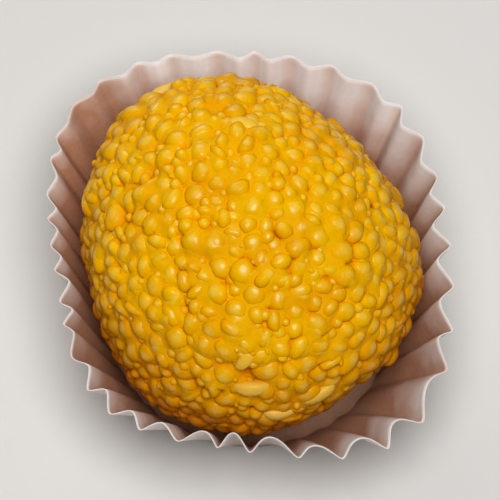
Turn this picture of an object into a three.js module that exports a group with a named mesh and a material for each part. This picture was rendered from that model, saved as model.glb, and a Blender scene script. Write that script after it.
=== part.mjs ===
// A boondi ladoo: a round Indian sweet, pressed from small fried gram-flour pearls, in its fluted paper case.
// Lengths are millimetres and angles are degrees. +Z is up, +X is right and -Y is the front.
// The origin is the middle of the flat base that the case stands on.
import * as THREE from "three";
import { ConvexHull } from "three/addons/math/ConvexHull.js";

// The ladoo: a hand-pressed ball, a little longer than it is wide, with a flat under it.
const LADOO_WIDTH = 39.8; // the narrow way across, seen from above
const LADOO_LENGTH = 44.8; // the long way across, seen from above
const LADOO_HEIGHT = 39.6; // before the underside settles flat
const LADOO_TURN = 24; // the long way, turned from +Y towards -X
const LADOO_SETTLE = 2.2; // how much of the height the flat underside takes away
const LADOO_SHIFT_X = -0.4; // it sits a little off the middle of its case
const LADOO_SHIFT_Y = -0.2;
const BACK_TAPER = 0.035; // how much narrower the back is than the middle, as a share
const REST_GAP = 0.3; // clear space between the ladoo and the paper floor

// The shallow flats that the palm and fingers leave: where each faces, how wide it is and how deep.
// A flat of negative depth is a swell, where the ball bulges out instead.
const PALM_PRESSES = [
  { azimuth: 188, elevation: -4, spread: 26, depth: 0.9 },
  { azimuth: 48, elevation: 19, spread: 34, depth: 1.7 },
  { azimuth: 306, elevation: -21, spread: 22, depth: 2.0 },
  { azimuth: 250, elevation: 66, spread: 26, depth: 0.5 },
  { azimuth: 138, elevation: 22, spread: 22, depth: -0.8 },
  { azimuth: 238, elevation: -12, spread: 20, depth: -0.8 },
  { azimuth: 350, elevation: -2, spread: 20, depth: -0.4 },
];

// The pearls: small balls that are packed side by side over the whole surface.
const PEARL_COUNT = 780;
const PEARL_PROUD = 0.38; // the mean height of a pearl's top above the ball's form
const PEARL_UNEVEN = 0.24; // how much that height varies either way
const GROOVE_DEPTH = 0.36; // the gaps between pearls, below the ball's form
const SCATTER = 0.42; // how far a pearl strays from an even layout, in pearl pitches
const SPREADING_ROUNDS = 12; // rounds in which crowded pearls push each other apart
const SEED = 20;

// The paper case: a flat round base and a fluted wall that flares to a squarish rim.
const BASE_RADIUS = 17.5;
const RIM_HALF_WIDTH = 23.9; // along X, to the outside of the flutes
const RIM_HALF_LENGTH = 26.5; // along Y, to the outside of the flutes
const RIM_SQUARENESS = 3.0; // 2 is an ellipse, and more is squarer
const RIM_SKEW = 0.055; // how much the rim is drawn out towards its left back and right front
const WALL_LENGTH = 21.4; // up the slope of the wall, the same all round
const FLARE_BEND = 0.04; // 0 is a straight wall, and more turns outwards at the rim
const PLEATS = 36;
const PLEAT_WIDENING = 0.16; // how much wider the flutes are on the right than the mean, as a share
const PLEAT_DEPTH = 1.4; // at the rim, from the outside of a flute to its inside
const PLEAT_DEEPENING = 0.3; // how much deeper the deepest flutes are than the mean, as a share
const DEEPEST_AZIMUTH = -50;
const POINTS_PER_PLEAT = 6;
const WALL_BANDS = 3;
const PAPER = 0.3;

const PEARL_PITCH = Math.sqrt((4 * Math.PI) / PEARL_COUNT / Math.sin(Math.PI / 3)); // on a ball of radius 1
const radians = THREE.MathUtils.degToRad;

// Numbers from 0 to 1 that are the same on each run.
function seededRandom(seed) {
  let state = seed;
  return () => {
    state = (Math.imul(state, 1664525) + 1013904223) >>> 0;
    return state / 2 ** 32;
  };
}

function direction(azimuth, elevation) {
  const level = Math.cos(radians(elevation));
  return new THREE.Vector3(
    level * Math.cos(radians(azimuth)),
    level * Math.sin(radians(azimuth)),
    Math.sin(radians(elevation)),
  );
}

const presses = PALM_PRESSES.map(({ azimuth, elevation, spread, depth }) => ({
  facing: direction(azimuth, elevation),
  spread: radians(spread),
  depth,
}));

// The ball's radius in a direction, before its pearls and its flat underside.
function formRadius(facing) {
  const along = facing.clone().applyAxisAngle(new THREE.Vector3(0, 0, 1), radians(-LADOO_TURN));
  const reach = new THREE.Vector3(
    (2 * along.x) / LADOO_WIDTH,
    (2 * along.y) / LADOO_LENGTH,
    (2 * along.z) / LADOO_HEIGHT,
  );
  const taper = 1 - BACK_TAPER * Math.max(0, along.y) * Math.abs(along.x);
  const pressed = presses.reduce(
    (sum, press) => sum + press.depth * Math.exp(-((facing.angleTo(press.facing) / press.spread) ** 2)),
    0,
  );
  return taper / reach.length() - pressed;
}

// A point of the surface, measured from the ball's middle. Nothing goes below the flat underside.
function ladooPoint(facing, proud) {
  const point = facing.clone().multiplyScalar(formRadius(facing) + proud);
  const lowest = LADOO_SETTLE - LADOO_HEIGHT / 2;
  if (point.z < lowest) point.multiplyScalar(lowest / point.z);
  return point;
}

// Directions that are spread evenly over a ball along a spiral, then scattered.
function scatteredDirections(random) {
  const goldenAngle = Math.PI * (3 - Math.sqrt(5));
  const stray = () => (random() - 0.5) * 2 * SCATTER * PEARL_PITCH;
  return Array.from({ length: PEARL_COUNT }, (_, i) => {
    const z = 1 - (2 * i + 1) / PEARL_COUNT;
    const level = Math.sqrt(1 - z * z);
    const turn = i * goldenAngle;
    const even = new THREE.Vector3(level * Math.cos(turn), level * Math.sin(turn), z);
    return even.add(new THREE.Vector3(stray(), stray(), stray())).normalize();
  });
}

// Moves apart the pearls that are closer than a pitch.
function spreadApart(pearls) {
  const pushes = pearls.map(() => new THREE.Vector3());
  pearls.forEach((a, i) => {
    for (let j = i + 1; j < pearls.length; j++) {
      const away = a.clone().sub(pearls[j]);
      const distance = away.length();
      if (distance >= PEARL_PITCH) continue;
      away.multiplyScalar((PEARL_PITCH - distance) / distance / 4);
      pushes[i].add(away);
      pushes[j].sub(away);
    }
  });
  pearls.forEach((pearl, i) => pearl.add(pushes[i]).normalize());
}

// The faces of the hull round the pearls: each face is a gap between three of them.
function gapsBetween(pearls) {
  const indexOf = new Map(pearls.map((pearl, i) => [pearl, i]));
  return new ConvexHull().setFromPoints(pearls).faces.map((face) => {
    const corners = [0, 1, 2].map((k) => face.getEdge(k).head().point);
    const middle = new THREE.Vector3();
    corners.forEach((corner) => middle.add(corner));
    return { facing: middle.normalize(), pearls: corners.map((corner) => indexOf.get(corner)) };
  });
}

// The gaps round each pearl, in order anticlockwise as seen from outside.
function ringsOfGaps(pearls, gaps) {
  const rings = pearls.map(() => []);
  gaps.forEach((gap, g) => gap.pearls.forEach((i) => rings[i].push(g)));
  return rings.map((ring, i) => {
    const across = gaps[ring[0]].facing.clone().cross(pearls[i]).normalize();
    const up = pearls[i].clone().cross(across);
    const turn = (g) => Math.atan2(gaps[g].facing.dot(up), gaps[g].facing.dot(across));
    return ring.sort((a, b) => turn(a) - turn(b));
  });
}

function meshGeometry(points, triangles) {
  const geometry = new THREE.BufferGeometry().setFromPoints(points);
  geometry.setIndex(triangles.flat());
  geometry.computeVertexNormals();
  return geometry;
}

// Each pearl is a low dome: its top, and the ring of gaps round it.
function ladooGeometry() {
  const random = seededRandom(SEED);
  const pearls = scatteredDirections(random);
  for (let round = 0; round < SPREADING_ROUNDS; round++) spreadApart(pearls);
  const gaps = gapsBetween(pearls);
  const tops = pearls.map((facing) => ladooPoint(facing, PEARL_PROUD + PEARL_UNEVEN * (2 * random() - 1)));
  const bottoms = gaps.map((gap) => ladooPoint(gap.facing, -GROOVE_DEPTH));
  const triangles = ringsOfGaps(pearls, gaps).flatMap((ring, i) =>
    ring.map((gap, k) => [i, pearls.length + gap, pearls.length + ring[(k + 1) % ring.length]]),
  );
  return meshGeometry([...tops, ...bottoms], triangles);
}

// How far the rim's outside reaches from the middle, in a direction round the case.
function rimRadius(turn) {
  const x = Math.abs(Math.cos(turn) / RIM_HALF_WIDTH) ** RIM_SQUARENESS;
  const y = Math.abs(Math.sin(turn) / RIM_HALF_LENGTH) ** RIM_SQUARENESS;
  return (1 - RIM_SKEW * Math.sin(2 * turn)) * (x + y) ** (-1 / RIM_SQUARENESS);
}

// A point of the wall. flutes counts the flutes from the right, in radians where a turn is all of them. rise goes
// from 0 at the base to 1 at the rim, and inset is how far in from the outer face the point lies.
// The paper doesn't stretch, so the rim dips where it is drawn further out.
function wallPoint(flutes, rise, inset) {
  const turn = flutes + PLEAT_WIDENING * Math.sin(flutes);
  const flare = rise * (1 - FLARE_BEND + FLARE_BEND * rise);
  const depth = PLEAT_DEPTH * (1 + PLEAT_DEEPENING * Math.cos(turn - radians(DEEPEST_AZIMUTH)));
  const pleat = (depth * (1 - Math.cos(PLEATS * flutes))) / 2;
  const spread = rimRadius(turn) - BASE_RADIUS;
  const rimHeight = Math.sqrt(WALL_LENGTH ** 2 - (spread - depth / 2) ** 2);
  const radius = BASE_RADIUS + spread * flare - pleat * rise - inset;
  const floor = inset > 0 ? PAPER : 0;
  return new THREE.Vector3(
    radius * Math.cos(turn),
    radius * Math.sin(turn),
    THREE.MathUtils.lerp(floor, rimHeight, rise),
  );
}

// A closed skin of rings: up the wall's outside, over the rim and down its inside, with a fan across each side of
// the base.
function caseGeometry() {
  const around = PLEATS * POINTS_PER_PLEAT;
  const ring = (rise, inset) =>
    Array.from({ length: around }, (_, i) => wallPoint((2 * Math.PI * i) / around, rise, inset));
  const rises = Array.from({ length: WALL_BANDS + 1 }, (_, k) => k / WALL_BANDS);
  const rings = [...rises.map((rise) => ring(rise, 0)), ...rises.toReversed().map((rise) => ring(rise, PAPER))];
  const points = [...rings.flat(), new THREE.Vector3(0, 0, 0), new THREE.Vector3(0, 0, PAPER)];
  const [underside, floor] = [points.length - 2, points.length - 1];
  const triangles = [];
  for (let i = 0; i < around; i++) {
    const next = (i + 1) % around;
    triangles.push([underside, next, i]);
    for (let r = 0; r < rings.length - 1; r++) {
      const [low, high] = [r * around, (r + 1) * around];
      triangles.push([low + i, low + next, high + next], [low + i, high + next, high + i]);
    }
    const last = (rings.length - 1) * around;
    triangles.push([floor, last + i, last + next]);
  }
  return meshGeometry(points, triangles);
}

const boondi = new THREE.MeshStandardMaterial({ color: 0xe5a50f, roughness: 0.45, metalness: 0 });
const paper = new THREE.MeshStandardMaterial({ color: 0xf1ecea, roughness: 0.7, metalness: 0 });

const ladoo = new THREE.Mesh(ladooGeometry(), boondi);
ladoo.name = "ladoo";
ladoo.position.set(LADOO_SHIFT_X, LADOO_SHIFT_Y, PAPER + REST_GAP + LADOO_HEIGHT / 2 - LADOO_SETTLE);

const paperCase = new THREE.Mesh(caseGeometry(), paper);
paperCase.name = "paper_case";

const part = new THREE.Group();
part.add(ladoo, paperCase);

export default part;
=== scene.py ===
"""A boondi ladoo in its fluted paper case.

The ladoo is some hundreds of small fried gram-flour pearls, moist with syrup. They press each
other out of round, over a smaller syrupy core. The case is one thin sheet of white paper, pleated
all round. Shapes are worked out in millimetres, and angles are given in degrees.
"""

import math

import bmesh
import bpy
import numpy as np
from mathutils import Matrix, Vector, noise


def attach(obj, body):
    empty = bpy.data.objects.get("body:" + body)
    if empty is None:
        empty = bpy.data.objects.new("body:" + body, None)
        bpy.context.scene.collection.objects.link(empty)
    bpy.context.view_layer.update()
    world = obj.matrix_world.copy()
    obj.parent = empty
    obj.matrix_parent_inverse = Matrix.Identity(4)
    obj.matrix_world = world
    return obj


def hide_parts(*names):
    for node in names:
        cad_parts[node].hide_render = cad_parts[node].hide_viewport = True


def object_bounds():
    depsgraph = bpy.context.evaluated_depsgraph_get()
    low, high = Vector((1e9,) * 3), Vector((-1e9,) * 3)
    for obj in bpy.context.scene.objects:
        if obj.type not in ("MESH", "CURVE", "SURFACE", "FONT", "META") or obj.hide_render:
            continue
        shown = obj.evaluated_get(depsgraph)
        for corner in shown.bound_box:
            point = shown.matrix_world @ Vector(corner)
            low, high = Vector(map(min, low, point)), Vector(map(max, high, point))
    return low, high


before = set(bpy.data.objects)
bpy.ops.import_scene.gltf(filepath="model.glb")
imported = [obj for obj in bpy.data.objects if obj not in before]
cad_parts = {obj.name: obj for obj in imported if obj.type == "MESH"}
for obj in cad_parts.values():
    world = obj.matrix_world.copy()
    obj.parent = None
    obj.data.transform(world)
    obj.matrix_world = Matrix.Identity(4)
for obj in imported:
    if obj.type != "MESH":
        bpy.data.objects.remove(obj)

cad_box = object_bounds()

MM = 0.001
UP = np.array([0.0, 0.0, 1.0])
SEED = 20
ANY_PHASE = (0, 6.3)  # where a wave may start, in radians
NOISE_GAIN = 1.6  # brings Blender's noise up to about -1 to 1

# The case, as in the CAD. An azimuth is the angle round the middle, from +X towards +Y.
BASE_RADIUS = 17.5
RIM_HALF_WIDTH = 23.9  # along X, to the outside of the flutes
RIM_HALF_LENGTH = 26.5  # along Y, to the outside of the flutes
RIM_SQUARENESS = 3.0  # 2 is an ellipse, and more is squarer
RIM_SKEW = 0.055  # how much the rim is drawn out towards its left back and right front
WALL_LENGTH = 21.4  # up the slope of the wall
FLARE_BEND = 0.04  # 0 is a straight wall, and more turns outwards at the rim
PLEATS = 36
PLEAT_WIDENING = 0.16  # how much wider the flutes are on the right than the mean, as a share
PLEAT_DEPTH = 1.4  # at the rim
PLEAT_DEEPENING = 0.3  # how much deeper the deepest flutes are than the mean, as a share
DEEPEST_AZIMUTH = -50
# What the CAD leaves out of the case. A ripple is a sum of waves: for each its size, how many go
# round, and where they start.
PAPER = 0.12  # thickness
POINTS_PER_PLEAT = 20
WALL_ROWS = 26
BASE_ROWS = 14
PITCH_RIPPLE = ((0.012, 11, 1.0), (0.009, 17, 4.0))  # of the flutes' places, in radians
RIM_RIPPLE = ((0.12, 5, 0.6), (0.1, 8, 2.0))
DEPTH_RIPPLE = ((0.14, 9, 2.2), (0.1, 13, 0.3))  # as a share of the flutes' depth
HEIGHT_RIPPLE = ((0.12, 7, 0.0), (0.08, 19, 1.0))
LEAN = 0.45  # how far the flutes lean over sideways where they lean most
LEAN_AZIMUTH = -62
CREASE = 0.93  # how sharp a creased flute is: 1 is a knife edge
CREASED = 0.25  # the share of creasing in the flutes at the front and back
CREASED_MORE = 0.55  # what the sides have on top of that
FLUTE_GROWTH = 0.65  # below 1, a flute is soon deep above the base
FLUTE_FULL = 1.06  # above 1, a flute reaches its full depth a little below the rim

# The pearls of the outer layer. Heights are above the CAD's mean surface.
PEARL_COUNT = 840
PEARL_RADIUS = 1.34
PEARL_RADIUS_SPREAD = 0.3
SMALLEST_PEARL, LARGEST_PEARL = 0.82, 1.85
PEARL_STRAY = 0.055  # how far a pearl strays from an even layout, on a ball of radius 1
PEARL_TIGHTNESS = 0.92  # how near two pearls' middles come, as a share of their radii's sum
PEARL_PROUD = 0.47  # the mean height of a pearl's top
PEARL_UNEVEN = 0.23  # how much that height varies either way
CLUMPING = 0.4  # how far whole groups of pearls stand out or lie back
CLUMP_FINENESS = 5.5
LOW_INSET = 0.14  # how much further in the pearls of the lower half lie, clear of the paper
LOW_INSET_GROWTH = 3  # more reaches it sooner below the ball's middle
SPREADING_ROUNDS = 16  # rounds in which crowded pearls push each other apart
SPREADING_PUSH = 0.3  # the share of their overlap that goes in a round
DOME = 1.0  # how tall a pearl is outwards from its middle, against its radius
SPREAD_OUT = 1.22  # how wide it is before its neighbours press it back, against its radius
CROWN_LEAN = 0.5  # how far its crown leans up from straight outwards, towards the light above: a highlight is painted there
SHARPNESS = 9  # how crisp the edge is where a neighbour has pressed it flat
PRESS_REACH = 1.5  # how far off a neighbour still presses, as a share of their radii's sum
PRESS_OVERLAP = 0.02  # how far each goes past the plane between the two
PEARL_TILT = 0.16  # how far it leans from straight outwards
PEARL_STRETCH = 0.26  # how much longer it is one way than the other, mostly
PEARL_SWELLS = ((0.03, 2.6), (0.022, 4.5), (0.012, 8.0))  # each a size and a fineness
PEARL_TINTS = (2, 2.5)  # the beta distribution that the tints are drawn from
BALL_DETAIL = 3  # subdivisions
COARSE_DETAIL = 2

# The pearls that show through the gaps of the outer layer.
INNER_COUNT = 640
INNER_DEPTH = 2.15
INNER_SPREADING_ROUNDS = 12

# The mash of crushed pearls and syrup that rounds off the gaps between the pearls.
MASH_DETAIL = 7  # subdivisions
MASH_PARTS = 30  # worked out one after another, to save memory
MASH_SOFTNESS = 4.1  # more follows the pearls' domes more closely
MASH_BELOW = (0.03, 0.3)  # how far it stays under the pearls, where it is thick and where thin
MASH_PATCHES = 6  # how fine its thick and thin patches are
MASH_CONTRAST = 0.9  # more has less in between thick and thin
MASH_TINT = 0.4
MASH_TINT_SPREAD = 0.3
MASH_LUMPS = 0.085  # how far its own lumps stand out
LUMP_FINENESS, COARSE_LUMP_FINENESS = 34, 19
COARSE_LUMPS = 1.5  # how much more the coarse lumps stand out than the fine ones
MASH_FADE = 1.6  # how soon a pearl's crown fades in it
MASH_CLEARANCE = 0.4  # above the ladoo's underside
PIT_DEPTH = 0.9  # where it is missing
PIT_FINENESS = 9
PIT_START, PIT_SLOPE = 0.3, 0.2  # the noise where a pit starts, and how much more at its bottom

# Long pale grains. Each place is an azimuth and an elevation on the ball, a twist from level, and
# a tint: from 1 to 2, it makes the grain paler.
GRAIN_SIZE = (4.3, 1.8, 1.6)
GRAIN_SIZES = (0.8, 1.1)  # as a share of that
GRAIN_BLUNTNESS = 2.5  # 2 is an ellipsoid, and more is blunter
GRAIN_BOW = 0.15  # how far its ends bend sideways, and twice that inwards
GRAIN_SWELL = (0.06, 2.7)  # its size and fineness
GRAIN_PROUD = 0.62
GRAIN_CROWN = 0.85  # the same all over, as in the crumbs
GRAINS = [
    (-90, 15, 4, 1.5),
    (-81, 1, -6, 1.8),
    (-68, 6, 12, 1.6),
    (-92, 27, 62, 1.3),
    (96, 62, -12, 1.4),
]
REAR_GRAINS = 5
REAR_AZIMUTHS = (10, 170)
REAR_SPANS = ((-20, 30), (0, 180), (1.3, 1.8))  # elevation, twist and tint
REAR_SHARE = (0.15, 0.85)  # the part of its own stretch of azimuths that each keeps to

# The small pearls that sit in the gaps.
TINY_COUNT = 430
TINY_PLACES = 7000  # tried, the widest gaps first
TINY_STRAY = 0.02  # how far the choice strays from the widest gaps
TINY_RADIUS = (0.5, 0.88)
TINY_PROUD = (-0.1, 0.5)
TINY_APART = 1.5
TINY_TILT = 0.25  # how far each leans from straight outwards
TINY_TALLNESS = (0.8, 1.0)
TINY_WIDTH = (0.9, 1.25)
TINY_SWELL = (0.05, 2.8)

# Broken bits in the gaps.
CRUMB_PLACES = 300  # tried: only those in a gap are kept
CRUMB_STRAY = 0.12
CRUMB_RADIUS = (0.22, 0.5)
CRUMB_STRETCH = (0.7, 1.3)
CRUMB_SWELL = (0.25, 3.1)
CRUMB_SUNK = 0.1  # as a share of its radius
CRUMB_TINTS = (0.3, 1.5)
CRUMB_CROWN = 0.8
GAP_CROWN = 0.72  # the mash's crown is below this in a gap

# The studio, in metres. The lights' places are from the CAD's origin.
FLOOR_HALF = 3.0
KEY_LIGHT = {"location": (0.03, -0.18, 0.62), "size": 0.38, "power": 3.75}
BACK_LIGHT = {
    "location": (-0.16, 0.5, 0.27),
    "size": 0.36,
    "power": 1.1,
    "tone": (1, 0.97, 0.92),
}
FILL_TONE = (1.0, 0.99, 0.98, 1)
FILL_STRENGTH = 0.03
CAMERA_SENSOR = 36  # millimetres, as is its lens
CAMERA_LENS = 385
CAMERA_NEAREST = 0.05
CAMERA_ELEVATION = 65
CAMERA_DISTANCE = 0.64


# ---------------------------------------------------------------- numbers and directions


def unit(vectors):
    """Each row of an array, made 1 long."""
    return vectors / np.linalg.norm(vectors, axis=-1, keepdims=True)


def spiral(count):
    """Directions spread evenly over a ball."""
    i = np.arange(count)
    z = 1 - (2 * i + 1) / count
    level = np.sqrt(1 - z * z)
    turn = i * math.pi * (3 - math.sqrt(5))
    return np.column_stack([level * np.cos(turn), level * np.sin(turn), z])


def noise_at(directions, fineness, shift=0.0):
    """Blender's noise in each direction. Another shift gives another pattern."""
    return np.array([noise.noise(Vector(d * fineness + UP * shift)) for d in directions])


def frame_points(node):
    """The corners of a CAD node, in millimetres."""
    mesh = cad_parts[node].data
    flat = np.empty(3 * len(mesh.vertices))
    mesh.vertices.foreach_get("co", flat)
    return flat.reshape(-1, 3) / MM


class Form:
    """The ladoo's mean surface, read from the CAD solid and smoothed over its modelled pearls."""

    SMOOTHING = math.radians(6.5)
    AT_ONCE = 2000  # directions worked out at a time
    STEP = 0.03  # how far to each side a normal is worked out from, in radians

    def __init__(self, node):
        points = frame_points(node)
        low, high = points.min(0), points.max(0)
        self.middle = (low + high) / 2
        self.floor = low[2]
        away = points - self.middle
        self.facing = unit(away)
        self.reach = np.linalg.norm(away, axis=1)

    def radius(self, directions):
        """How far the mean surface is from the middle, in each direction."""
        parts = np.array_split(directions, max(1, len(directions) // self.AT_ONCE))
        return np.concatenate([self._radius(part) for part in parts])

    def _radius(self, directions):
        weight = np.exp(-2 * (1 - directions @ self.facing.T) / self.SMOOTHING**2)
        return weight @ self.reach / weight.sum(1)

    def normals(self, directions):
        """The mean surface's outward normal in each direction."""
        nearly_up = UP + 0.01
        across = unit(np.cross(directions, nearly_up))
        along = np.cross(directions, across)
        sides = []
        for tangent in (across, along):
            start, end = (unit(directions + sign * self.STEP * tangent) for sign in (1, -1))
            sides.append(start * self.radius(start)[:, None] - end * self.radius(end)[:, None])
        normal = unit(np.cross(*sides))
        return normal * np.sign((normal * directions).sum(1))[:, None]


# ---------------------------------------------------------------- meshes


def make_piece(name, points, faces, material, attributes):
    """A smooth-shaded mesh that rides on the frame.

    points are in millimetres, and each attribute has a number for each point.
    """
    mesh = bpy.data.meshes.new(name)
    mesh.from_pydata((points * MM).tolist(), [], faces)
    mesh.polygons.foreach_set("use_smooth", [True] * len(mesh.polygons))
    for key, values in attributes.items():
        layer = mesh.attributes.new(key, "FLOAT", "POINT")
        layer.data.foreach_set("value", values.astype(np.float32))
    mesh.materials.append(material)
    mesh.update()
    piece = bpy.data.objects.new(name, mesh)
    bpy.context.scene.collection.objects.link(piece)
    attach(piece, "root")
    return piece


def icosphere(subdivisions):
    """The corners and triangles of a ball of radius 1."""
    mesh = bpy.data.meshes.new("ball")
    ball = bmesh.new()
    bmesh.ops.create_icosphere(ball, subdivisions=subdivisions, radius=1)
    ball.to_mesh(mesh)
    ball.free()
    points = np.array([v.co for v in mesh.vertices])
    faces = np.array([p.vertices for p in mesh.polygons])
    bpy.data.meshes.remove(mesh)
    return points, faces


# ---------------------------------------------------------------- the pearls


class Pearls:
    """A layer of pearls: their middles, radii and outward normals."""

    def __init__(self, form, random, count, depth):
        self.form = form
        radius = random.normal(PEARL_RADIUS, PEARL_RADIUS_SPREAD, count)
        self.radius = np.clip(radius, SMALLEST_PEARL, LARGEST_PEARL)
        self.top = PEARL_PROUD + PEARL_UNEVEN * random.uniform(-1, 1, count) - depth
        self.facing = unit(spiral(count) + random.normal(0, PEARL_STRAY, (count, 3)))
        self.top += CLUMPING * noise_at(self.facing, CLUMP_FINENESS) * NOISE_GAIN
        self.top -= LOW_INSET * np.clip(-LOW_INSET_GROWTH * self.facing[:, 2], 0, 1)
        self.place()

    def place(self):
        """Puts each pearl's middle under its top."""
        self.surface = self.form.radius(self.facing)
        out = self.surface + self.top - self.radius * DOME
        self.middle = self.form.middle + self.facing * out[:, None]

    def spread(self, rounds):
        """Pushes crowded pearls apart, a little in each round."""
        want = (self.radius[:, None] + self.radius[None, :]) * PEARL_TIGHTNESS
        for _ in range(rounds):
            away = self.middle[:, None, :] - self.middle[None, :, :]
            distance = np.linalg.norm(away, axis=2)
            np.fill_diagonal(distance, np.inf)
            push = np.clip(want - distance, 0, None) / distance * SPREADING_PUSH
            self.middle += (away * push[:, :, None]).sum(1)
            self.facing = unit(self.middle - self.form.middle)
            self.place()
        self.normal = self.form.normals(self.facing)


def swelling(ball, random, *swells):
    """How far out each corner of a ball is pushed by its uneven swells: 1 is not at all."""
    return 1 + sum(
        size * np.sin(fineness * ball @ unit(random.normal(size=3)) + random.uniform(*ANY_PHASE))
        for size, fineness in swells
    )


def crown_of(ball, out):
    """How near each corner is to a pearl's crown, where a highlight is painted: 1 there, and 0 a
    quarter turn away.
    """
    return np.clip(ball @ unit(out + CROWN_LEAN * UP), 0, 1)


def press(pearls, others, ball, random):
    """Each pearl's corners, and how near each is to the pearl's crown.

    A pearl is a dome, pressed back to the plane between it and each of its neighbours.
    """
    middles = np.vstack([pearls.middle] + [o.middle for o in others])
    radii = np.concatenate([pearls.radius] + [o.radius for o in others])
    shapes, crowns = [], []
    for i, middle in enumerate(pearls.middle):
        r = pearls.radius[i]
        away = middles - middle
        distance = np.linalg.norm(away, axis=1)
        near = (distance > 0) & (distance < (radii + r) * PRESS_REACH)
        plane = unit(away[near])
        reach = distance[near] * r / (radii[near] + r) + PRESS_OVERLAP
        out = unit(pearls.normal[i] + random.normal(0, PEARL_TILT, 3))
        side = unit(np.cross(out, random.normal(size=3)))
        other = np.cross(out, side)
        stretch = math.exp(random.normal(0, PEARL_STRETCH))
        local = np.column_stack(
            [
                ball @ out / (r * DOME),
                ball @ side / (r * SPREAD_OUT * stretch),
                ball @ other / (r * SPREAD_OUT / stretch),
            ]
        )
        dome = np.linalg.norm(local, axis=1) / swelling(ball, random, *PEARL_SWELLS)
        pressed = np.clip(ball @ plane.T, 0, None) / reach
        limit = (dome**SHARPNESS + (pressed**SHARPNESS).sum(1)) ** (-1 / SHARPNESS)
        shapes.append(middle + ball * limit[:, None])
        crowns.append(crown_of(ball, out))
    return np.array(shapes), np.array(crowns)


def rest_on(points, height):
    """Nothing goes below the floor that the ladoo rests on."""
    points[..., 2] = np.maximum(points[..., 2], height)
    return points


def join(name, shapes, crowns, triangles, tints, surface, form, material):
    """Many pearls as one mesh.

    Each corner knows its pearl's tint, how near its crown is, and how far it is below the tops.
    """
    count, corners = shapes.shape[:2]
    faces = triangles[None, :, :] + (np.arange(count) * corners)[:, None, None]
    points = rest_on(shapes.reshape(-1, 3), form.floor)
    depth = np.repeat(surface, corners) + PEARL_PROUD - np.linalg.norm(points - form.middle, axis=1)
    attributes = {
        "tint": np.repeat(tints, corners),
        "crown": crowns.ravel(),
        "depth": np.clip(depth, 0, None),
    }
    return make_piece(name, points, faces.reshape(-1, 3).tolist(), material, attributes)


# ---------------------------------------------------------------- the ladoo


def build_ladoo():
    form = Form("ladoo")
    random = np.random.default_rng(SEED)
    boondi = boondi_material()
    outer = Pearls(form, random, PEARL_COUNT, 0)
    outer.spread(SPREADING_ROUNDS)
    inner = Pearls(form, random, INNER_COUNT, INNER_DEPTH)
    inner.spread(INNER_SPREADING_ROUNDS)
    pieces = build_outer(form, outer, inner, random, boondi)
    pieces.append(build_under(form, inner, random, boondi))
    pieces.append(build_mash(form, outer, boondi))
    pieces.append(build_grains(form, random, boondi))
    pieces.append(build_tiny(form, outer, random, boondi))
    pieces.append(build_crumbs(form, outer, random, boondi))
    for piece in pieces:
        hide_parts("ladoo")


def build_outer(form, outer, inner, random, material):
    """The outer layer of pearls, as a piece for each third of them by size."""
    ball, triangles = icosphere(BALL_DETAIL)
    shapes, crowns = press(outer, [inner], ball, random)
    tints = random.beta(*PEARL_TINTS, PEARL_COUNT)
    names = ("boondi_small", "boondi_medium", "boondi_large")
    thirds = np.array_split(np.argsort(outer.radius), len(names))
    return [
        join(name, shapes[k], crowns[k], triangles, tints[k], outer.surface[k], form, material)
        for name, k in zip(names, thirds)
    ]


def build_under(form, inner, random, material):
    """The deeper pearls, which show through the gaps of the outer layer."""
    ball, triangles = icosphere(COARSE_DETAIL)
    shapes, crowns = press(inner, [], ball, random)
    tints = random.beta(*PEARL_TINTS, INNER_COUNT)
    return join("boondi_under", shapes, crowns, triangles, tints, inner.surface, form, material)


def mash_height(pearls, facing):
    """How high the mash stands above the mean surface, and how near a pearl's crown it is there.

    It is the pearls' domes, run softly into each other.
    """
    curve = pearls.radius * SPREAD_OUT**2 / DOME
    heights, crowns = [], []
    for part in np.array_split(facing, MASH_PARTS):
        beside = 2 * (1 - part @ pearls.facing.T) * pearls.surface**2
        dome = pearls.top - beside / (2 * curve)
        heights.append(np.log(np.exp(MASH_SOFTNESS * dome).sum(1)) / MASH_SOFTNESS)
        crowns.append((1 + MASH_FADE * (beside / pearls.radius**2).min(1)) ** -0.5)
    patches = noise_at(facing, MASH_PATCHES, shift=9)
    thinness = np.clip(0.5 + MASH_CONTRAST * patches, 0, 1)
    thick, thin = MASH_BELOW
    height = np.concatenate(heights) - thick - (thin - thick) * thinness
    return height, np.concatenate(crowns)


def build_mash(form, pearls, material):
    """The lumpy core under the pearls. A few pits show where its mash is missing."""
    facing, faces = icosphere(MASH_DETAIL)
    coarse_lumps = COARSE_LUMPS * noise_at(facing, COARSE_LUMP_FINENESS)
    lumps = noise_at(facing, LUMP_FINENESS) + coarse_lumps
    pit = np.clip((noise_at(facing, PIT_FINENESS) - PIT_START) / PIT_SLOPE, 0, 1)
    height, crown = mash_height(pearls, facing)
    height = height + MASH_LUMPS * lumps - PIT_DEPTH * pit
    points = form.middle + facing * (form.radius(facing) + height)[:, None]
    points = rest_on(points, form.floor + MASH_CLEARANCE)
    attributes = {
        "tint": MASH_TINT + MASH_TINT_SPREAD * lumps,
        "crown": crown,
        "depth": np.clip(PEARL_PROUD - height, 0, None),
    }
    return make_piece("ladoo_core", points, faces.tolist(), material, attributes)


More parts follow.
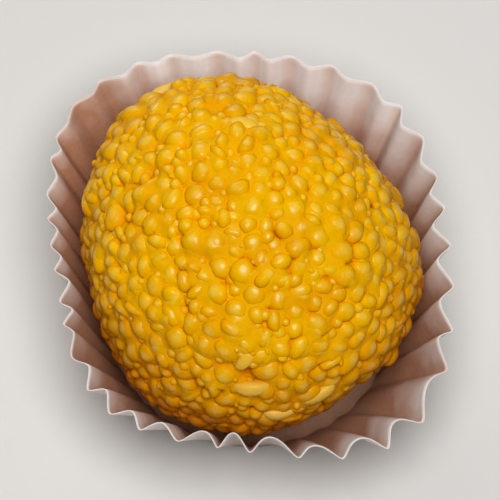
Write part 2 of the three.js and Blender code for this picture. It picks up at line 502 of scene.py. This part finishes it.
def build_grains(form, random, material):
    """Pale long grains that lie flat on the ball: the placed ones, and some more behind."""
    places = list(GRAINS)
    first, last = REAR_AZIMUTHS
    for i in range(REAR_GRAINS):
        azimuth = first + (last - first) * (i + random.uniform(*REAR_SHARE)) / REAR_GRAINS
        places.append((azimuth, *(random.uniform(*span) for span in REAR_SPANS)))
    ball, triangles = icosphere(BALL_DETAIL)
    size, fineness = GRAIN_SWELL
    shapes, surface = [], []
    for azimuth, elevation, twist, _ in places:
        a, e, t = (math.radians(angle) for angle in (azimuth, elevation, twist))
        facing = np.array([[math.cos(a) * math.cos(e), math.sin(a) * math.cos(e), math.sin(e)]])
        out = form.normals(facing)[0]
        level = unit(np.cross(UP, out))
        along = level * math.cos(t) + np.cross(out, level) * math.sin(t)
        side = np.cross(out, along)
        length, width, thickness = np.array(GRAIN_SIZE) * random.uniform(*GRAIN_SIZES)
        powers = (np.abs(ball) ** GRAIN_BLUNTNESS).sum(1)[:, None]
        blunt = ball / powers ** (1 / GRAIN_BLUNTNESS)
        bow = GRAIN_BOW * blunt[:, 0] ** 2
        swell = 1 + size * np.sin(fineness * blunt[:, 0] + random.uniform(*ANY_PHASE))
        local = np.column_stack(
            [
                blunt[:, 0] * length / 2,
                blunt[:, 1] * swell * width / 2 + bow,
                blunt[:, 2] * swell * thickness / 2 - 2 * bow,
            ]
        )
        reach = form.radius(facing)[0]
        middle = form.middle + facing[0] * (reach + GRAIN_PROUD - thickness / 2)
        shapes.append(middle + local @ np.array([along, side, out]))
        surface.append(reach)
    shapes, surface = np.array(shapes), np.array(surface)
    tints = np.array([tint for *_, tint in places])
    crowns = np.full(shapes.shape[:2], GRAIN_CROWN)
    return join("boondi_long_grains", shapes, crowns, triangles, tints, surface, form, material)


def widest_gaps(form, outer, random):
    """Directions of the widest gaps between the pearls, each clear of the others."""
    facing = spiral(TINY_PLACES)
    _, crown = mash_height(outer, facing)
    chosen = []
    for i in np.argsort(crown + random.normal(0, TINY_STRAY, len(crown))):
        if len(chosen) == TINY_COUNT:
            break
        apart = np.linalg.norm(facing[chosen] - facing[i], axis=1) * form.reach.mean()
        if not chosen or apart.min() > TINY_APART:
            chosen.append(i)
    return facing[chosen]


def build_tiny(form, outer, random, material):
    """Small pearls, each in one of the widest gaps between the others."""
    facing = widest_gaps(form, outer, random)
    surface = form.radius(facing)
    ball, triangles = icosphere(BALL_DETAIL)
    shapes, crowns = [], []
    for out, reach in zip(facing, surface):
        size = random.uniform(*TINY_RADIUS)
        lean = unit(out + random.normal(0, TINY_TILT, 3))
        along = (ball @ lean)[:, None] * lean
        across = ball - along
        shape = along * random.uniform(*TINY_TALLNESS) + across * random.uniform(*TINY_WIDTH)
        swell = swelling(ball, random, TINY_SWELL)
        middle = form.middle + out * (reach + random.uniform(*TINY_PROUD) - size)
        shapes.append(middle + shape * size * swell[:, None])
        crowns.append(crown_of(ball, out))
    shapes, crowns = np.array(shapes), np.array(crowns)
    tints = random.beta(*PEARL_TINTS, len(facing))
    return join("boondi_tiny", shapes, crowns, triangles, tints, surface, form, material)


def build_crumbs(form, outer, random, material):
    """Broken bits of pearl, caught in the gaps."""
    ball, triangles = icosphere(COARSE_DETAIL)
    facing = unit(spiral(CRUMB_PLACES) + random.normal(0, CRUMB_STRAY, (CRUMB_PLACES, 3)))
    height, crown = mash_height(outer, facing)
    in_gap = crown < GAP_CROWN
    facing, height = facing[in_gap], height[in_gap]
    surface = form.radius(facing)
    shapes = []
    for out, reach in zip(facing, surface + height):
        size = random.uniform(*CRUMB_RADIUS)
        stretch = random.uniform(*CRUMB_STRETCH, 3)
        swell = swelling(ball, random, CRUMB_SWELL)
        middle = form.middle + out * (reach - CRUMB_SUNK * size)
        shapes.append(middle + ball * stretch * size * swell[:, None])
    shapes = np.array(shapes)
    tints = random.uniform(*CRUMB_TINTS, len(facing))
    crowns = np.full(shapes.shape[:2], CRUMB_CROWN)
    return join("boondi_crumbs", shapes, crowns, triangles, tints, surface, form, material)


# ---------------------------------------------------------------- the case


def ripple(turn, waves):
    """A smooth ripple round the case, at each turn."""
    return sum(size * np.sin(count * turn + start) for size, count, start in waves)


def case_point(flutes, rise):
    """Points of the paper's outer face, and how near each is to the outer crest of a flute.

    Seen from inside, that crest is a groove. flutes is an angle in which the flutes are evenly
    spaced, and rise goes from 0 at the base to 1 at the rim.
    """
    turn = flutes + PLEAT_WIDENING * np.sin(flutes) + ripple(flutes, PITCH_RIPPLE)
    x = np.abs(np.cos(turn) / RIM_HALF_WIDTH) ** RIM_SQUARENESS
    y = np.abs(np.sin(turn) / RIM_HALF_LENGTH) ** RIM_SQUARENESS
    rim = (1 - RIM_SKEW * np.sin(2 * turn)) * (x + y) ** (-1 / RIM_SQUARENESS)
    rim = rim + ripple(turn, RIM_RIPPLE)
    deepest = np.cos(turn - math.radians(DEEPEST_AZIMUTH))
    depth = PLEAT_DEPTH * (1 + PLEAT_DEEPENING * deepest + ripple(flutes, DEPTH_RIPPLE))
    lean = LEAN * np.clip(np.cos(turn - math.radians(LEAN_AZIMUTH)), 0, 1) ** 2 * rise
    phase = PLEATS * flutes
    fold = np.cos(phase + lean * np.sin(phase))
    creased = np.arcsin(CREASE * fold) / math.asin(CREASE)
    fold = fold + (creased - fold) * (CREASED + CREASED_MORE * np.cos(turn) ** 2)
    pleat = depth * (1 - fold) / 2
    flare = rise * (1 - FLARE_BEND + FLARE_BEND * rise)
    spread = rim - BASE_RADIUS
    height = np.sqrt(WALL_LENGTH**2 - (spread - pleat) ** 2) + ripple(flutes, HEIGHT_RIPPLE)
    growth = np.clip(rise * FLUTE_FULL, 0, 1) ** FLUTE_GROWTH
    radius = BASE_RADIUS + spread * flare - pleat * growth
    groove = np.clip(fold, 0, 1) * rise
    return radius * np.cos(turn), radius * np.sin(turn), height * rise, groove


def build_case():
    """One skin of paper, then given its thickness: a flat base and the pleated wall."""
    around = PLEATS * POINTS_PER_PLEAT
    flutes = np.arange(around) * 2 * math.pi / around
    x, y, z, groove = case_point(flutes, 0)
    shares = [row / BASE_ROWS for row in range(1, BASE_ROWS)]
    rings = [np.column_stack([x * share, y * share, z, groove]) for share in shares]
    for row in range(WALL_ROWS + 1):
        rings.append(np.column_stack(case_point(flutes, row / WALL_ROWS)))
    skin = np.vstack([np.zeros((1, 4))] + rings)
    here = range(around)
    beside = [(i + 1) % around for i in here]
    faces = [[0, 1 + i, 1 + j] for i, j in zip(here, beside)]
    for r in range(len(rings) - 1):
        low, high = 1 + r * around, 1 + (r + 1) * around
        faces += [[low + i, high + i, high + j, low + j] for i, j in zip(here, beside)]
    paper = paper_material()
    attributes = {"groove": skin[:, 3]}
    piece = make_piece("fluted_paper_case", skin[:, :3], faces, paper, attributes)
    thicken = piece.modifiers.new("thickness", "SOLIDIFY")
    thicken.thickness = PAPER * MM
    thicken.offset = 1
    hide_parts("paper_case")


# ---------------------------------------------------------------- materials


class Graph:
    """A short way to add linked nodes to a material."""

    def __init__(self, name):
        self.material = bpy.data.materials.new(name)
        self.material.use_nodes = True
        self.nodes = self.material.node_tree.nodes
        self.links = self.material.node_tree.links
        self.shader = self.nodes["Principled BSDF"]

    def set(self, **values):
        """Sets the shader's own sockets: Base_Color=..., Roughness=..."""
        for key, value in values.items():
            self.wire(self.shader.inputs[key.replace("_", " ")], value)

    def wire(self, socket, value):
        if isinstance(value, bpy.types.NodeSocket):
            self.links.new(value, socket)
        else:
            socket.default_value = value

    def add(self, kind, inputs=None, **settings):
        node = self.nodes.new(kind)
        for key, value in settings.items():
            setattr(node, key, value)
        for key, value in (inputs or {}).items():
            self.wire(node.inputs[key], value)
        return node

    def place(self):
        return self.add("ShaderNodeTexCoord").outputs["Object"]

    def attribute(self, name):
        return self.add("ShaderNodeAttribute", attribute_name=name).outputs["Fac"]

    def noise(self, scale, detail=2.0, roughness=0.5):
        """scale is in features for each millimetre, roughly."""
        inputs = {
            "Vector": self.place(),
            "Scale": scale / MM,
            "Detail": detail,
            "Roughness": roughness,
        }
        return self.add("ShaderNodeTexNoise", inputs).outputs["Fac"]

    def spread(self, value, low, high, to_low=0.0, to_high=1.0):
        """The value's range low to high, spread over another range."""
        inputs = {0: value, 1: low, 2: high, 3: to_low, 4: to_high}
        return self.add("ShaderNodeMapRange", inputs).outputs[0]

    def math(self, operation, a, b):
        return self.add("ShaderNodeMath", {0: a, 1: b}, operation=operation).outputs[0]

    def sum(self, first, *others):
        for value in others:
            first = self.math("ADD", first, value)
        return first

    def product(self, a, b):
        return self.math("MULTIPLY", a, b)

    def mix(self, share, a, b):
        """Colour a, with a share of colour b over it."""
        inputs = {0: share, 6: a, 7: b}
        return self.add("ShaderNodeMix", inputs, data_type="RGBA", blend_type="MIX").outputs[2]

    def layers(self, base, *layers):
        """A base colour under layers of others. Each layer is its share and its colour."""
        for share, paint in layers:
            base = self.mix(share, base, paint)
        return base

    def bump(self, height, distance, strength, normal=None):
        """distance is in millimetres."""
        inputs = {"Height": height, "Distance": distance * MM, "Strength": strength}
        if normal is not None:
            inputs["Normal"] = normal
        return self.add("ShaderNodeBump", inputs).outputs["Normal"]


def colour(*screen):
    """A screen colour, 0 to 255, as Blender's linear one."""
    linear = (((c / 255 + 0.055) / 1.055) ** 2.4 if c > 10 else c / 255 / 12.92 for c in screen)
    return (*linear, 1.0)


def boondi_material():
    """Fried gram flour, steeped in syrup: golden, with painted highlights on the crowns, painted
    shade on the flanks, amber in the gaps from syrup and painted shade, and darker low down from
    ghee and painted shade.

    A tint from 0 to 1 varies the golden colour, and one from 1 to 2 makes it paler.
    """
    g = Graph("boondi_fried_golden")
    tint, crown, depth = (g.attribute(name) for name in ("tint", "crown", "depth"))
    height = g.add("ShaderNodeSeparateXYZ", {0: g.place()}).outputs["Z"]
    golden = g.mix(tint, colour(237, 175, 1), colour(243, 188, 2))
    darker_patches = g.spread(g.noise(0.2, 3.0), 0.44, 0.62, 0.0, 0.5)
    pale = g.spread(tint, 1.0, 2.0)
    # painted shade: each pearl's flanks, away from its crown, are made darker amber
    painted_shade_off_crown = g.spread(crown, 0.86, 0.6, 0.0, 0.4)
    # painted highlight: a pale, mottled spot on each pearl's crown, which leans up towards the
    # light
    mottle = g.spread(g.noise(0.8, 3.0), 0.3, 0.7, 0.15, 0.85)
    painted_highlight_on_crown = g.product(g.spread(crown, 0.88, 1.0), mottle)
    # syrup in the gaps, with painted shade: the deeper below the tops, the more amber
    syrup_and_painted_shade_in_gaps = g.spread(depth, 0.5, 1.8)
    # ghee and painted shade: darker amber towards the bottom, less on the paler grains
    low_down = g.spread(height, 30 * MM, 16 * MM, 0.0, 0.82)
    ghee_and_painted_shade = g.product(low_down, g.spread(tint, 1.0, 2.0, 1.0, 0.5))
    specks = g.product(g.spread(g.noise(2.6, 2.0), 0.70, 0.78), 0.3)
    body = g.layers(
        golden,
        (darker_patches, colour(225, 151, 1)),
        (pale, colour(242, 210, 96)),
        (painted_shade_off_crown, colour(232, 158, 1)),
        (painted_highlight_on_crown, colour(247, 208, 84)),
        (syrup_and_painted_shade_in_gaps, colour(228, 147, 1)),
        (ghee_and_painted_shade, colour(186, 102, 1)),
        (specks, colour(190, 112, 6)),
    )
    pores = g.bump(g.noise(5.0, 3.0, 0.6), 0.04, 0.6)
    crust = g.bump(g.noise(1.8, 2.0), 0.11, 0.7, pores)
    rough_crown = g.spread(crown, 0.95, 0.65, 0.1, 0.5)
    g.set(
        Base_Color=body,
        Roughness=g.sum(rough_crown, g.spread(g.noise(1.4, 2.0), 0.3, 0.7, 0, 0.1)),
        Normal=crust,
        Specular_IOR_Level=0.03,
        Specular_Tint=(1.0, 0.88, 0.6, 1.0),
        Coat_Weight=g.spread(crown, 0.78, 0.95, 0.0, 0.6),
        Coat_Roughness=0.22,
        Coat_IOR=1.4,
    )
    return g.material


def paper_material():
    """Thin white greaseproof paper, pressed into pleats. Its lower part is darker and browner,
    partly ghee that has seeped in and partly painted shade, and painted shade lies in its grooves
    inside.
    """
    g = Graph("case_white_paper")
    across, _, height = g.add("ShaderNodeSeparateXYZ", {0: g.place()}).outputs
    cloud = g.spread(g.noise(0.25, 3.0), 0.3, 0.7)
    dry = g.mix(cloud, colour(230, 220, 217), colour(240, 232, 230))

    facing = g.add("ShaderNodeNewGeometry").outputs["Normal"]
    dot = {"operation": "DOT_PRODUCT"}
    outwards = g.add("ShaderNodeVectorMath", {0: facing, 1: g.place()}, **dot).outputs["Value"]
    inside = g.spread(outwards, 3 * MM, 0, 0.45, 1.0)

    # The upper edge of the ghee and painted shade: higher on the left and right, where more painted
    # shade falls, and uneven all round.
    on_left = g.spread(across, -11 * MM, -21 * MM, 0, -5.5 * MM)
    on_right = g.spread(across, 17 * MM, 23 * MM, 0, -4 * MM)
    uneven = g.spread(g.noise(0.2, 4.0), 0, 1, -3.5 * MM, 3.5 * MM)
    edge = g.sum(height, g.sum(on_left, on_right, uneven))
    # ghee and painted shade: the lower wall darker and browner, most of all on its inner face
    ghee_and_painted_shade = g.product(g.spread(edge, 17 * MM, 10.5 * MM, 0.0, 0.88), inside)

    # painted shade in the grooves of the inner face
    painted_shade_in_grooves = g.product(g.attribute("groove"), g.spread(outwards, 3 * MM, -3 * MM))
    fibre = g.noise(2.2, 5.0, 0.65)
    body = g.layers(
        dry,
        (ghee_and_painted_shade, colour(166, 109, 62)),
        (g.product(painted_shade_in_grooves, 0.4), colour(160, 112, 76)),
        (g.product(g.spread(fibre, 0.45, 0.65), 0.12), colour(206, 192, 186)),
    )
    fine = g.bump(g.noise(7.0, 3.0, 0.6), 0.012, 0.5)
    g.set(
        Base_Color=body,
        Roughness=0.6,
        Normal=g.bump(fibre, 0.05, 0.4, fine),
        Subsurface_Weight=0.6,
        Subsurface_Radius=(1.0, 0.85, 0.75),
        Subsurface_Scale=0.4 * MM,
        Specular_IOR_Level=0.3,
    )
    return g.material


def floor_material():
    g = Graph("studio_floor")
    g.set(Base_Color=colour(222, 220, 217), Roughness=0.8)
    return g.material


# ---------------------------------------------------------------- the studio


def put(thing, location, direction):
    """Puts a light or a camera in its place, and turns it in a direction."""
    thing.location = location
    thing.rotation_euler = direction.to_track_quat("-Z", "Y").to_euler()
    bpy.context.scene.collection.objects.link(thing)


def area_light(name, aim, location, size, power, tone=(1, 1, 1)):
    light = bpy.data.lights.new(name, "AREA")
    light.shape = "DISK"
    light.size = size
    light.energy = power
    light.color = tone
    put(bpy.data.objects.new(name, light), location, Vector(aim) - Vector(location))


def build_floor(level):
    h = FLOOR_HALF
    mesh = bpy.data.meshes.new("floor")
    corners = [(-h, -h, level), (h, -h, level), (h, h, level), (-h, h, level)]
    mesh.from_pydata(corners, [], [(0, 1, 2, 3)])
    mesh.materials.append(floor_material())
    floor = bpy.data.objects.new("floor", mesh)
    bpy.context.scene.collection.objects.link(floor)


def build_studio():
    """A pale floor, a soft key light above the front, a low back light, and the camera."""
    scene = bpy.context.scene
    low, high = cad_box
    middle = (low + high) / 2
    build_floor(low.z)
    area_light("key", middle, **KEY_LIGHT)
    area_light("back", middle, **BACK_LIGHT)
    world = bpy.data.worlds.new("studio")
    world.use_nodes = True
    fill = world.node_tree.nodes["Background"].inputs
    fill["Color"].default_value = FILL_TONE
    fill["Strength"].default_value = FILL_STRENGTH
    scene.world = world

    lens = bpy.data.cameras.new("camera")
    lens.sensor_width = CAMERA_SENSOR
    lens.lens = CAMERA_LENS
    lens.clip_start = CAMERA_NEAREST
    camera = bpy.data.objects.new("camera", lens)
    elevation = math.radians(CAMERA_ELEVATION)
    away = Vector((0, -math.cos(elevation), math.sin(elevation)))
    put(camera, middle + away * CAMERA_DISTANCE, -away)
    scene.camera = camera
    scene.view_settings.view_transform = "Standard"


build_ladoo()
build_case()
build_studio()
